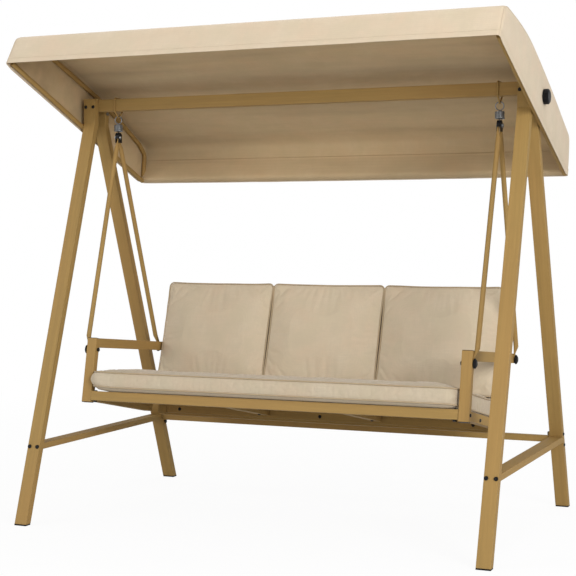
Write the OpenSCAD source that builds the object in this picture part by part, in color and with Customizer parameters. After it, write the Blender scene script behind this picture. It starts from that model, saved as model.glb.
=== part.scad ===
// Three-seat garden swing bench with a tilting canopy, hung on springs and rods from an A-frame stand.
// Millimetres. Origin on the ground under the middle of the stand, X along the seat, +Y to the rear, +Z up.

/* [Stand] */
// Width over the outer faces of the legs
stand_w = 1800; // [1780:5:1820]
// Width of a leg tube, seen from the front
leg_w = 50; // [44:1:52]
// Thickness of a leg tube, seen from the side
leg_t = 28; // [26:1:30]
// Front face of the front feet to the middle of the stand
front_reach = 588; // [570:1:600]
// Rear edge of the rear feet to the middle of the stand
rear_reach = 594; // [580:1:600]
// Height of the leg tops
stand_h = 1607; // [1600:1:1615]
// Height of the middle of the lower braces
brace_z = 280; // [260:1:300]

/* [Canopy] */
// Forward tilt of the canopy at rest
canopy_tilt = 21.6; // [15:0.2:25]
// Half of the canopy's width
canopy_half_w = 922; // [922:1:926]
// Diameter of the canopy frame's tubes
canopy_tube_d = 18; // [14:1:18]
// Diameter of a canopy clamping knob
knob_d = 54; // [40:1:60]

/* [Seat] */
// Rearward tilt of the seat frame
seat_tilt = 11.3; // [10:0.1:12]
// Recline of the back frame, measured from the seat frame's normal
back_lean = 5.7; // [5:0.1:6]
// Diameter of a hanging rod
rod_d = 18; // [14:1:18]
// Width of the armrests, posts and side rails
arm_w = 38; // [34:1:38]
// Thickness of the seat cushion
seat_cushion_t = 79; // [60:1:79]
// Thickness of a back cushion
back_cushion_t = 70; // [50:1:80]

/* [Hidden] */
$fn = 48;

tan_paint = [0.66, 0.54, 0.34];
black = [0.08, 0.08, 0.08];
zinc = [0.55, 0.56, 0.56];
canopy_cloth = [0.88, 0.81, 0.71];
cushion_cloth = [0.80, 0.73, 0.63];

// General clearances and tube walls
wall = 1.5;
gap = 0.3;
bolt_r = 4;
bolt_hole_r = 4.2;
short_bolt = 12;
bolt_head_r = 7;
bolt_head_h = 4;
nut_r = 7.5;
nut_h = 6;
through = 200;
side_reach = 700;

// Stand, measured in the side view
leg_x = stand_w / 2 - leg_w;
front_kink = [-86, 1513];
rear_kink = [-7, 1500];
front_slope = atan((front_kink[0] + front_reach) / front_kink[1]);
rear_lean = 20.9;
rear_foot = rear_reach - leg_t / cos(rear_lean);
rear_slope = atan((rear_foot - rear_kink[0]) / rear_kink[1]);
head_front_back = front_kink[0] + leg_t;
crossbar_h = 46;
crossbar_z = 1559;
head_bolt_z = 1575;
bolt_inset = 8.5;
foot_cap_h = 5;
plug_depth = 20;
brace_h = 22;
brace_bolt_depth = 22;
rear_bar_t = 25;
rear_bar_h = 24;
rear_bar_plate = [4, 26, 68];
rear_bolt_spread = 23.5;

// Hanging points
hang_x = 774;
hang_y = (head_front_back + rear_kink[0]) / 2;
loop_d = 6;
loop_low_z = 1534;
loop_bend = 3.8;
eye_wire = 4;
swing_z = loop_low_z + loop_d / 2 + eye_wire / 2 + 0.05;
eye_r = 15;
coil_r = 15.2;
coil_wire = 4.6;
coil_top = 1506.4;
coil_bottom = 1477;
coil_turns = 6;
cap_top = 1474;
cap_h = 40;
cap_size = [16, 26];
top_pin_z = 1455;
tab_t = 3;
tab_shift = eye_wire / 2 + gap + tab_t / 2;
rod_top_spread = 8.2;
rod_top_z = 1437;

// Seat frame, in its own tilted coordinates: Y runs back along the seat, Z is square to it
seat_origin = [0, -342, 480];
rail_x = 718;
arm_x = rail_x + 0.5;
post_t = 25;
post_u = 2;
post_top = 201;
post_low = -41;
arm_rise = 5.9;
arm_h = 36;
arm_end_u = 586;
rail_h = 35;
rear_rail_h = 40;
rail_t = 25;
side_rail_h = 32;
side_rail_top = -4;
seat_depth = 590;
front_bolt = [18, 159];
post_bolt = [15.5, -17.5];
corner_bolt_x = 704;
rear_bolt = [575, 238];
rod_foot_x = arm_x + arm_w + 0.2 + rod_d / 2;
cover_x = arm_x + arm_w + 0.2 + tab_t + 0.4;
cover_r = 17.5;
side_rail_end = 491;
back_foot_u = 543;
back_t = 22;
back_w = 38;
back_len = 492;
top_rail_h = 32;
back_slat_h = 30;
back_slat_low = [150, 305];
back_bolts = [-620, 0, 620];
back_bolt_z = -18;
middle_x = 237;
middle_rail_h = 20;
slat_w = 30;
slat_t = 3;

// Canopy, in its own tilted coordinates: Y runs back along the lower edge, Z is square to it
canopy_origin = [0, -594, 1695];
canopy_bottom_u = 1096;
cloth_t = 2;
side_cloth_t = 1.6;
pivot_y = 9;
pivot_z = 1555;
canopy_tube_wall = 1.2;
canopy_tube_x = canopy_half_w - side_cloth_t - canopy_tube_d / 2 - gap;
strap_x = stand_w / 2 + 9;
strap_t = 4;
strap_w = 30;
strap_top = 163.4;
canopy_front_at = [42, 103];
canopy_rear_at = [1075, 14];
knob_x = canopy_half_w + 1.5;
knob_h = 19;
pivot_du = pivot_y - canopy_origin[1];
pivot_dv = pivot_z - canopy_origin[2];
pivot_u = pivot_du * cos(canopy_tilt) - pivot_dv * sin(canopy_tilt);
pivot_v = pivot_du * sin(canopy_tilt) + pivot_dv * cos(canopy_tilt);

// ---------- points and curves ----------

function bezier(a, b, c, d, n) = [
    for (i = [1 : n]) let (t = i / n, s = 1 - t)
        s * s * s * a + 3 * s * s * t * b + 3 * s * t * t * c + t * t * t * d
];

// Smooth curve through a list of points
function through_points(p, n) = [
    for (k = [0 : len(p) - 2], i = [1 : n])
        let (t = i / n, a = p[max(k - 1, 0)], b = p[k], c = p[k + 1], d = p[min(k + 2, len(p) - 1)])
            0.5 * (2 * b + (c - a) * t + (2 * a - 5 * b + 4 * c - d) * t * t
            + (3 * b - a - 3 * c + d) * t * t * t)
];

function unit(v) = v / norm(v);
function turned(v) = [v[1], -v[0]];

// The same open outline, moved sideways by d
function inset(p, d) = [
    for (i = [0 : len(p) - 1])
        let (
            before = unit(p[max(i, 1)] - p[max(i, 1) - 1]),
            after = unit(p[min(i, len(p) - 2) + 1] - p[min(i, len(p) - 2)]),
            middle = unit(before + after)
        )
            p[i] + turned(middle) * d / (before * middle)
];

roof_outline = concat(
    [[0, 0], [14, 68], [20.5, 100]],
    bezier([20.5, 100], [26, 128], [52, 137], [88, 144], 6),
    through_points([[88, 144], [258, 176.5], [421, 190], [717, 180], [924, 163.5], [1032, 155]], 4),
    bezier([1032, 155], [1056, 153], [1067, 145], [1071, 128.5], 5),
    [[canopy_bottom_u, 0]]
);

// ---------- shapes used again ----------

module mirrored(side) {
    mirror([side < 0 ? 1 : 0, 0, 0]) children();
}

module both_sides() {
    for (side = [-1, 1]) {
        mirrored(side) children();
    }
}

module seat_frame() {
    translate(seat_origin) rotate([-seat_tilt, 0, 0]) children();
}

module back_frame() {
    seat_frame() translate([0, back_foot_u, 0]) rotate([-back_lean, 0, 0]) children();
}

module canopy_frame() {
    translate(canopy_origin) rotate([-canopy_tilt, 0, 0]) children();
}

// Cylinder along X from x0 to x1 at (y, z)
module bar_x(x0, x1, y, z, r) {
    translate([x0, y, z]) rotate([0, 90, 0]) cylinder(h = x1 - x0, r = r);
}

// Cylinder along Y from y0 to y1 at (x, z)
module bar_y(y0, y1, x, z, r) {
    translate([x, y0, z]) rotate([-90, 0, 0]) cylinder(h = y1 - y0, r = r);
}

// Rectangular tubes, open at both ends, from one corner
module tube_along_x(size) {
    difference() {
        cube(size);
        translate([-1, wall, wall]) cube([size[0] + 2, size[1] - 2 * wall, size[2] - 2 * wall]);
    }
}

module tube_along_y(size) {
    difference() {
        cube(size);
        translate([wall, -1, wall]) cube([size[0] - 2 * wall, size[1] + 2, size[2] - 2 * wall]);
    }
}

module tube_along_z(size) {
    difference() {
        cube(size);
        translate([wall, wall, -1]) cube([size[0] - 2 * wall, size[1] - 2 * wall, size[2] + 2]);
    }
}

// Round tube between two points of the side view, at one X
module rod_between(x, a, b, r) {
    d = b - a;
    translate([x, a[0], a[1]]) rotate([-atan2(d[0], d[1]), 0, 0]) cylinder(h = norm(d), r = r);
}

// Centre line through the corners p, with every corner rounded by a bend of one radius
function rounded_path(p, radius) = concat(
    [p[0]],
    [
        for (i = [1 : len(p) - 2])
            let (
                into = unit(p[i] - p[i - 1]),
                out = unit(p[i + 1] - p[i]),
                angle = acos(into * out),
                side = into[0] * out[1] - into[1] * out[0] > 0 ? 1 : -1,
                start = p[i] - into * radius * tan(angle / 2),
                centre = start + side * radius * [-into[1], into[0]],
                n = max(2, ceil(angle / 12))
            )
                for (k = [0 : n])
                    let (a = side * angle * k / n, d = start - centre)
                        centre + [d[0] * cos(a) - d[1] * sin(a), d[0] * sin(a) + d[1] * cos(a)]
    ],
    [p[len(p) - 1]]
);

function ring_at(x, p, way, r, n) = [
    for (j = [0 : n - 1])
        let (a = j * 360 / n)
            [x + r * cos(a), p[0] - way[1] * r * sin(a), p[1] + way[0] * r * sin(a)]
];

function path_way(p, i) = unit(
    unit(p[min(i + 1, len(p) - 1)] - p[min(i, len(p) - 2)]) + unit(p[max(i, 1)] - p[max(i, 1) - 1])
);

// Bent round tube (or bar, with an inner radius of 0) along a path of the side view
module bent_tube(x, p, radius, inner, n) {
    last = len(p) - 1;
    skins = inner > 0 ? 2 : 1;
    points = concat(
        [for (i = [0 : last]) each ring_at(x, p[i], path_way(p, i), radius, n)],
        inner > 0 ? [for (i = [0 : last]) each ring_at(x, p[i], path_way(p, i), inner, n)] : []
    );
    start = (last + 1) * n;
    outer_faces = [
        for (i = [0 : last - 1], j = [0 : n - 1])
            let (k = (j + 1) % n, a = i * n, b = a + n) [a + j, a + k, b + k, b + j]
    ];
    inner_faces = skins == 1 ? [] : [
        for (i = [0 : last - 1], j = [0 : n - 1])
            let (k = (j + 1) % n, a = start + i * n, b = a + n) [a + k, a + j, b + j, b + k]
    ];
    end_faces = skins == 1
        ? [[for (j = [n - 1 : -1 : 0]) j], [for (j = [0 : n - 1]) last * n + j]]
        : [
            for (j = [0 : n - 1])
                let (k = (j + 1) % n)
                    each [[k, j, start + j, start + k],
                        [last * n + j, last * n + k, start + last * n + k, start + last * n + j]]
        ];
    polyhedron(points, concat(outer_faces, inner_faces, end_faces));
}

// Endless round wire along a closed path of the side view
module wire_loop(x, p, radius, n) {
    count = len(p);
    points = [
        for (i = [0 : count - 1])
            let (way = unit(unit(p[(i + 1) % count] - p[i]) + unit(p[i] - p[(i + count - 1) % count])))
                each ring_at(x, p[i], way, radius, n)
    ];
    polyhedron(points, [
        for (i = [0 : count - 1], j = [0 : n - 1])
            let (k = (j + 1) % n, a = i * n, b = ((i + 1) % count) * n) [a + j, a + k, b + k, b + j]
    ]);
}

// Dome-headed bolt along +Z with its head below z = 0, and a nut when grip is above 0
module bolt(length, grip) {
    translate([0, 0, -bolt_head_h]) cylinder(h = bolt_head_h, r1 = bolt_head_r * 0.6, r2 = bolt_head_r);
    cylinder(h = length, r = bolt_r);
    if (grip > 0) {
        translate([0, 0, grip]) difference() {
            cylinder(h = nut_h, r = nut_r, $fn = 6);
            translate([0, 0, -1]) cylinder(h = nut_h + 2, r = bolt_r + 0.02);
        }
    }
}

// Slab in the side view between the two faces of a leg, used to shape what meets it
module front_leg_outline(extra, low) {
    top = [front_kink[0], stand_h];
    shift = leg_t / cos(front_slope);
    back = front_kink[0] + leg_t;
    back_z = (back - (-front_reach + shift)) / tan(front_slope);
    polygon([
        [-front_reach + low * tan(front_slope) + extra / cos(front_slope), low],
        [front_kink[0] + extra, front_kink[1] - extra * tan(front_slope / 2)],
        [top[0] + extra, stand_h],
        [back - extra, stand_h],
        [back - extra, back_z + extra * tan(front_slope / 2)],
        [-front_reach + shift + low * tan(front_slope) - extra / cos(front_slope), low]
    ]);
}

module rear_leg_outline(extra, low) {
    shift = leg_t / cos(rear_slope);
    back = rear_kink[0] + leg_t;
    back_z = rear_kink[1] - (back - shift - rear_kink[0]) / tan(rear_slope);
    polygon([
        [rear_foot - low * tan(rear_slope) + extra / cos(rear_slope), low],
        [rear_kink[0] + extra, rear_kink[1] + extra * tan(rear_slope / 2)],
        [rear_kink[0] + extra, stand_h],
        [back - extra, stand_h],
        [back - extra, back_z - extra * tan(rear_slope / 2)],
        [rear_foot + shift - low * tan(rear_slope) - extra / cos(rear_slope), low]
    ]);
}

// Side-view outline as a solid from x0 to x1
module side_extrude(x0, x1) {
    translate([x0, 0, 0]) rotate([90, 0, 90]) linear_extrude(height = x1 - x0) children();
}

function front_face_y(z) = -front_reach + z * tan(front_slope);
function rear_face_y(z) = rear_foot - z * tan(rear_slope);
function rear_back_y(z) = rear_face_y(z) + leg_t / cos(rear_slope);

// ---------- stand ----------

module head_bolt_holes() {
    for (x = [leg_x + bolt_inset, leg_x + leg_w - bolt_inset]) {
        bar_y(-through, through, x, head_bolt_z, bolt_hole_r);
    }
}

module brace_bolt_holes() {
    for (x = [leg_x + bolt_inset, leg_x + leg_w - bolt_inset]) {
        bar_y(-front_reach - 50, rear_reach + 50, x, brace_z, bolt_hole_r);
    }
}

module leg_front(side) {
    color(tan_paint) mirrored(side) difference() {
        side_extrude(leg_x, leg_x + leg_w) front_leg_outline(0, foot_cap_h);
        side_extrude(leg_x + wall, leg_x + leg_w - wall) intersection() {
            front_leg_outline(wall, foot_cap_h - 1);
            translate([-side_reach, 0]) square([2 * side_reach, stand_h - wall]);
        }
        head_bolt_holes();
        brace_bolt_holes();
    }
}

module leg_rear(side) {
    color(tan_paint) mirrored(side) difference() {
        side_extrude(leg_x, leg_x + leg_w) rear_leg_outline(0, foot_cap_h);
        side_extrude(leg_x + wall, leg_x + leg_w - wall) intersection() {
            rear_leg_outline(wall, foot_cap_h - 1);
            translate([-side_reach, 0]) square([2 * side_reach, stand_h - wall]);
        }
        head_bolt_holes();
        brace_bolt_holes();
        bar_x(leg_x - 1, leg_x + leg_w + 1, pivot_y, pivot_z, bolt_r + 0.05);
        rear_bar_bolts() bar_x(leg_x - 1, leg_x + leg_w + 1, 0, 0, bolt_hole_r);
    }
}

module crossbar() {
    color(tan_paint) difference() {
        translate([-stand_w / 2, head_front_back + 0.05, crossbar_z])
            tube_along_x([stand_w, rear_kink[0] - head_front_back - 0.1, crossbar_h]);
        both_sides() head_bolt_holes();
    }
}

module side_brace(side) {
    color(tan_paint) mirrored(side) difference() {
        translate([leg_x, -front_reach, brace_z - brace_h / 2])
            tube_along_y([leg_w, front_reach + rear_reach, brace_h]);
        side_extrude(leg_x - 1, leg_x + leg_w + 1) polygon([
            [-front_reach - 50, 0],
            [front_face_y(0) + leg_t / cos(front_slope) + 0.05, 0],
            [front_face_y(400) + leg_t / cos(front_slope) + 0.05, 400],
            [-front_reach - 50, 400]
        ]);
        side_extrude(leg_x - 1, leg_x + leg_w + 1) polygon([
            [rear_reach + 50, 0],
            [rear_face_y(0) - 0.05, 0],
            [rear_face_y(400) - 0.05, 400],
            [rear_reach + 50, 400]
        ]);
    }
}

// Places its children at the two bolts that hold the rear crossbar to a leg
module rear_bar_bolts() {
    for (s = [-1, 1]) {
        z = brace_z + s * rear_bolt_spread * cos(rear_slope);
        y = (rear_face_y(z) + rear_back_y(z)) / 2;
        translate([0, y, z]) children();
    }
}

module rear_crossbar() {
    bar_y0 = (rear_face_y(brace_z) + rear_back_y(brace_z)) / 2 - rear_bar_t / 2;
    half = leg_x - rear_bar_plate[0] - 0.05;
    color(tan_paint) {
        translate([-half, bar_y0, brace_z - rear_bar_h / 2]) tube_along_x([2 * half, rear_bar_t, rear_bar_h]);
        both_sides() difference() {
            translate([half, (rear_face_y(brace_z) + rear_back_y(brace_z)) / 2, brace_z])
                rotate([rear_slope, 0, 0])
                translate([0, -rear_bar_plate[1] / 2, -rear_bar_plate[2] / 2])
                cube(rear_bar_plate);
            rear_bar_bolts() bar_x(half - 1, leg_x + 1, 0, 0, bolt_hole_r);
        }
    }
}

module foot_caps() {
    color(black) both_sides() {
        translate([leg_x, -front_reach, 0]) cube([leg_w, leg_t / cos(front_slope) + 1, foot_cap_h]);
        translate([leg_x, rear_foot - 1, 0]) cube([leg_w, leg_t / cos(rear_slope) + 1, foot_cap_h]);
        side_extrude(leg_x + wall + gap, leg_x + leg_w - wall - gap) intersection() {
            front_leg_outline(wall + gap, 0);
            translate([-side_reach, 1]) square([2 * side_reach, plug_depth]);
        }
        side_extrude(leg_x + wall + gap, leg_x + leg_w - wall - gap) intersection() {
            rear_leg_outline(wall + gap, 0);
            translate([-side_reach, 1]) square([2 * side_reach, plug_depth]);
        }
    }
}

// Flat plastic plugs in the open ends of the crossbar
module tube_plugs() {
    depth = rear_kink[0] - head_front_back;
    color(black) both_sides() {
        translate([stand_w / 2, head_front_back + 1, crossbar_z + 1]) cube([1.5, depth - 2, crossbar_h - 2]);
        difference() {
            translate([stand_w / 2 - plug_depth, head_front_back + wall + gap, crossbar_z + wall + gap])
                cube([plug_depth + 0.5, depth - 2 * (wall + gap), crossbar_h - 2 * (wall + gap)]);
            head_bolt_holes();
        }
    }
}

module stand_bolts() {
    head_length = leg_t * 2 + rear_kink[0] - head_front_back;
    color(black) both_sides() {
        for (x = [leg_x + bolt_inset, leg_x + leg_w - bolt_inset]) {
            translate([x, front_kink[0], head_bolt_z]) rotate([-90, 0, 0])
                bolt(head_length + nut_h, head_length);
            brace_bolt(x);
            mirror([0, 1, 0]) rear_brace_bolt(x);
        }
        rear_bar_bolts() translate([leg_x + leg_w, 0, 0]) rotate([0, -90, 0])
            bolt(leg_w + rear_bar_plate[0] + nut_h, leg_w + rear_bar_plate[0] + 0.1);
    }
}

// Bolt through a sloping leg into the end of a side brace; its head is bedded on the slope
module brace_bolt(x) {
    y = front_face_y(brace_z);
    difference() {
        translate([x, y - bolt_head_h, brace_z]) rotate([-90, 0, 0])
            cylinder(h = 2 * bolt_head_h, r = bolt_head_r);
        side_extrude(x - bolt_head_r - 1, x + bolt_head_r + 1) polygon([
            [front_face_y(0) - 0.05, 0], [0, 0], [0, 400], [front_face_y(400) - 0.05, 400]
        ]);
    }
    translate([x, y + 0.1, brace_z]) rotate([-90, 0, 0]) cylinder(h = leg_t + brace_bolt_depth, r = bolt_r);
}

module rear_brace_bolt(x) {
    y = -rear_back_y(brace_z);
    difference() {
        translate([x, y - bolt_head_h, brace_z]) rotate([-90, 0, 0])
            cylinder(h = 2 * bolt_head_h, r = bolt_head_r);
        side_extrude(x - bolt_head_r - 1, x + bolt_head_r + 1) polygon([
            [-rear_back_y(0) - 0.05, 0], [0, 0], [0, 400], [-rear_back_y(400) - 0.05, 400]
        ]);
    }
    translate([x, y + 0.1, brace_z]) rotate([-90, 0, 0]) cylinder(h = leg_t + brace_bolt_depth, r = bolt_r);
}

// Closed wire loops round the crossbar; their lowest bend carries a spring eye
module hanger_loops() {
    r = loop_d / 2;
    front = head_front_back - r - gap;
    back = rear_kink[0] + r + gap;
    top = crossbar_z + crossbar_h + r + gap;
    knee = crossbar_z - 2;
    middle = [hang_y, top];
    path = rounded_path([
        middle, [front, top], [front, knee], [hang_y, loop_low_z - 1.6], [back, knee], [back, top], middle
    ], loop_bend);
    color(tan_paint) both_sides() wire_loop(hang_x, [for (i = [0 : len(path) - 2]) path[i]], r, 12);
}

module pivot_bolts() {
    color(zinc) both_sides() {
        bar_x(leg_x - bolt_head_h, leg_x - 0.05, pivot_y, pivot_z, bolt_head_r + 1);
        bar_x(leg_x - 0.5, knob_x + knob_h - 5, pivot_y, pivot_z, bolt_r);
        difference() {
            bar_x(stand_w / 2 + 0.1, strap_x - 0.1, pivot_y, pivot_z, 9);
            bar_x(stand_w / 2 - 1, strap_x + 1, pivot_y, pivot_z, bolt_r - 0.5);
        }
    }
}

// Round plastic knob with finger grooves round its rim
module canopy_knob(side) {
    grooves = 14;
    color(black) mirrored(side) translate([knob_x, pivot_y, pivot_z]) rotate([0, 90, 0]) difference() {
        union() {
            cylinder(h = knob_h - 4, d = knob_d);
            translate([0, 0, knob_h - 4]) cylinder(h = 4, d1 = knob_d, d2 = knob_d - 10);
        }
        for (i = [0 : grooves - 1]) {
            rotate([0, 0, i * 360 / grooves]) translate([knob_d / 2 + 2, 0, 2]) cylinder(h = knob_h, r = 4);
        }
        translate([0, 0, -1]) cylinder(h = knob_h - 3, r = bolt_r + 0.05);
    }
}

// ---------- canopy ----------

canopy_lower = [[28, 11], [1072, 0]];
canopy_upper = [
    [30, 21], [38, 100], [116, 138], [280, 157], [610, 164.5],
    [790, 155.5], [990, 135], [1052, 112], [1075.4, 12.6]
];

module canopy_upper_tube(side) {
    r = canopy_tube_d / 2;
    color(tan_paint) mirrored(side) canopy_frame()
        bent_tube(canopy_tube_x, rounded_path(canopy_upper, 26), r, r - canopy_tube_wall, 20);
}

module canopy_lower_tube(side) {
    end = [canopy_tube_wall, 0];
    color(tan_paint) mirrored(side) canopy_frame() difference() {
        rod_between(canopy_tube_x, canopy_lower[0], canopy_lower[1], canopy_tube_d / 2);
        rod_between(canopy_tube_x, canopy_lower[0] + end, canopy_lower[1] - end,
            canopy_tube_d / 2 - canopy_tube_wall);
    }
}

module canopy_cross_tube(at) {
    half = canopy_tube_x - canopy_tube_d / 2 - 0.1;
    color(tan_paint) canopy_frame() difference() {
        bar_x(-half, half, at[0], at[1], canopy_tube_d / 2);
        bar_x(-half - 1, half + 1, at[0], at[1], canopy_tube_d / 2 - canopy_tube_wall);
    }
}

module canopy_front_tube() {
    canopy_cross_tube(canopy_front_at);
}

module canopy_rear_tube() {
    canopy_cross_tube(canopy_rear_at);
}

// Upright plates between the side tubes, pivoted on the stand's rear heads
module canopy_straps() {
    reach = canopy_tube_d / 2 + 0.1;
    share = (pivot_u - canopy_lower[0][0]) / (canopy_lower[1][0] - canopy_lower[0][0]);
    low = canopy_lower[0][1] * (1 - share) + reach + 0.3;
    high = strap_top - reach;
    color(tan_paint) both_sides() canopy_frame() difference() {
        translate([strap_x, pivot_u - strap_w / 2, low]) cube([strap_t, strap_w, high - low]);
        bar_x(strap_x - 1, strap_x + strap_t + 1, pivot_u, pivot_v, bolt_r + 0.05);
    }
}

module canopy_cover() {
    inner = inset(roof_outline, cloth_t);
    last = inner[len(inner) - 1];
    below = 10;
    color(canopy_cloth) canopy_frame() difference() {
        side_extrude(-canopy_half_w, canopy_half_w) polygon(roof_outline);
        side_extrude(-canopy_half_w + side_cloth_t, canopy_half_w - side_cloth_t)
            polygon(concat([[inner[0][0] - 2, -below]], inner, [[last[0] + 2, -below]]));
        bar_x(-canopy_half_w - 1, canopy_half_w + 1, pivot_u, pivot_v, 2 * bolt_r);
    }
}

// ---------- springs and rods ----------

module spring_eyes() {
    color(zinc) both_sides() translate([hang_x, hang_y, swing_z - eye_r]) rotate([90, 0, 0])
        rotate_extrude() translate([eye_r, 0]) circle(d = eye_wire);
}

// Close-wound coil as one swept solid
module spring_coil(side) {
    steps = 22;
    ring = 8;
    total = coil_turns * steps;
    rise = coil_top - coil_bottom - coil_wire;
    points = [
        for (i = [0 : total], j = [0 : ring - 1])
            let (
                a = i * 360 / steps,
                b = j * 360 / ring,
                r = coil_r + coil_wire / 2 * cos(b),
                z = coil_bottom + coil_wire / 2 + rise * i / total + coil_wire / 2 * sin(b) * 0.98
            )
                [r * cos(a), r * sin(a), z]
    ];
    sides = [
        for (i = [0 : total - 1], j = [0 : ring - 1])
            let (k = (j + 1) % ring, a = i * ring, b = a + ring)
                [a + j, a + k, b + k, b + j]
    ];
    caps = [
        [for (j = [ring - 1 : -1 : 0]) j],
        [for (j = [0 : ring - 1]) total * ring + j]
    ];
    color(zinc) mirrored(side) translate([hang_x, hang_y, 0]) polyhedron(points, concat(sides, caps));
}

// Lower spring hooks: long wire eyes from the coil's end, round the pin in the rods' top cap
module spring_hooks() {
    half = 6;
    low = top_pin_z - bolt_r - gap - eye_wire / 2;
    high = coil_bottom - eye_wire / 2 - 0.1;
    middle = [hang_y, high];
    path = rounded_path([
        middle, [hang_y - half, high], [hang_y - half, low],
        [hang_y + half, low], [hang_y + half, high], middle
    ], half - 0.5);
    color(zinc) both_sides()
        wire_loop(hang_x, [for (i = [0 : len(path) - 2]) path[i]], eye_wire / 2, 12);
}

// Forked caps that join the two rods of a side: open below for the rods, slotted on top for the hook
module rod_top_caps() {
    slack = 1.05;
    slot_length = 17.2;
    inner = [2 * (tab_shift + tab_t / 2 + slack), cap_size[1] - 5];
    slot = [eye_wire + 2 * gap, slot_length];
    fork = 17;
    roof = 10;
    color(black) both_sides() translate([hang_x, hang_y, cap_top - cap_h]) difference() {
        union() {
            translate([-cap_size[0] / 2, -cap_size[1] / 2, 0])
                cube([cap_size[0], cap_size[1], cap_h - cap_size[1] / 2]);
            bar_x(-cap_size[0] / 2, cap_size[0] / 2, 0, cap_h - cap_size[1] / 2, cap_size[1] / 2);
        }
        translate([-inner[0] / 2, -through / 2, -1]) cube([inner[0], through, fork + 1]);
        translate([-inner[0] / 2, -inner[1] / 2, -1]) cube([inner[0], inner[1], cap_h - roof + 1]);
        translate([-slot[0] / 2, -slot[1] / 2, cap_h - roof - 1]) cube([slot[0], slot[1], roof + 2]);
        bar_x(-through, through, 0, top_pin_z - cap_top + cap_h, bolt_hole_r);
    }
}

module rod_top_bolts() {
    grip = cap_size[0];
    color(zinc) both_sides() translate([hang_x - grip / 2, hang_y, top_pin_z]) rotate([0, 90, 0])
        bolt(grip + nut_h, grip + 0.1);
}

// Hanging rod: a round tube with both ends pressed flat and drilled, leaning in a little towards the seat
module rod(side, top, foot, shift) {
    along = unit(foot - top);
    taper = 28;
    lap = 3;
    top_w = 15;
    foot_w = 16;
    foot_tab = 24;
    foot_shift = (tab_t - rod_d) / 2;
    start = top + along * taper;
    finish = foot - along * (taper + foot_tab);
    pin = [hang_y, top_pin_z];
    lean = asin((hang_x - rod_foot_x) / (top_pin_z - foot[1]));
    color(tan_paint) mirrored(side)
        translate([hang_x, 0, top_pin_z]) rotate([0, lean, 0]) translate([-hang_x, 0, -top_pin_z]) {
            difference() {
                rod_between(hang_x, start, finish, rod_d / 2);
                rod_between(hang_x, start - along, finish + along, rod_d / 2 - wall);
            }
            rod_taper(hang_x, start + along * lap, start, hang_x + shift, top, top - along * lap, top_w);
            rod_taper(hang_x, finish - along * lap, finish, hang_x + foot_shift, foot - along * foot_tab,
                foot - along * (foot_tab - lap), foot_w);
            rod_tab(hang_x + shift, top + along, pin, top_w);
            rod_tab(hang_x + foot_shift, foot - along * (foot_tab + 1), foot, foot_w);
        }
}

// Where a rod goes from round, between a and b, to flat, between c and d
module rod_taper(x0, a, b, x1, c, d, flat_w) {
    trim = 0.15;
    hull() {
        rod_between(x0, a, b, rod_d / 2 - trim, $fn = 32);
        way = d - c;
        translate([x1, c[0], c[1]]) rotate([-atan2(way[0], way[1]), 0, 0])
            translate([-tab_t / 2 + trim, -flat_w / 2 + trim, 0])
            cube([tab_t - 2 * trim, flat_w - 2 * trim, norm(way)]);
    }
}

// Flat drilled end of a rod, from a to the middle of its eye
module rod_tab(x, a, eye, w) {
    d = eye - a;
    eye_extra = 0.6;
    difference() {
        union() {
            translate([x, a[0], a[1]]) rotate([-atan2(d[0], d[1]), 0, 0])
                translate([-tab_t / 2, -w / 2, 0]) cube([tab_t, w, norm(d)]);
            bar_x(x - tab_t / 2, x + tab_t / 2, eye[0], eye[1], w / 2 + eye_extra);
        }
        bar_x(x - through, x + through, eye[0], eye[1], bolt_hole_r);
    }
}

function from_seat(p) = [
    seat_origin[1] + p[0] * cos(seat_tilt) + p[1] * sin(seat_tilt),
    seat_origin[2] - p[0] * sin(seat_tilt) + p[1] * cos(seat_tilt)
];
front_pin = from_seat(front_bolt);
rear_pin = from_seat(rear_bolt);
front_top = [hang_y - rod_top_spread, rod_top_z];
rear_top = [hang_y + rod_top_spread, rod_top_z];

module rod_front(side) {
    rod(side, front_top, front_pin, -tab_shift);
}

module rod_rear(side) {
    rod(side, rear_top, rear_pin, tab_shift);
}

// Round plastic covers pushed over the bolt heads at the rods' lower ends
module rod_end_caps() {
    rim = 4;
    dome = 4.5;
    color(black) both_sides() for (pin = [front_pin, rear_pin]) {
        translate([cover_x, pin[0], pin[1]]) rotate([0, 90, 0]) difference() {
            union() {
                cylinder(h = rim, r = cover_r);
                translate([0, 0, rim]) cylinder(h = dome, r1 = cover_r, r2 = cover_r - 7);
            }
            translate([0, 0, -1]) cylinder(h = bolt_head_h + 1.7, r = bolt_head_r + 0.4);
        }
    }
}

module rod_bolts() {
    outer = cover_x + 0.1;
    grip = outer - arm_x;
    color(black) both_sides() {
        translate([outer, front_pin[0], front_pin[1]]) rotate([0, -90, 0]) bolt(grip + nut_h, grip + 0.2);
        translate([outer, rear_pin[0], rear_pin[1]]) rotate([0, -90, 0])
            bolt(grip + back_w + nut_h + 1, grip + back_w + 0.8);
    }
}

// ---------- seat frame ----------

module rod_holes() {
    bar_x(0, arm_x + arm_w + 1, front_bolt[0], front_bolt[1], bolt_hole_r);
    bar_x(0, arm_x + arm_w + 1, rear_bolt[0], rear_bolt[1], bolt_hole_r);
}

module post(side) {
    color(tan_paint) mirrored(side) seat_frame() difference() {
        translate([arm_x, post_u, post_low]) tube_along_z([arm_w, post_t, post_top - post_low]);
        rod_holes();
        bar_x(0, arm_x + arm_w + 1, post_bolt[0], post_bolt[1], bolt_hole_r);
    }
}

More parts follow.
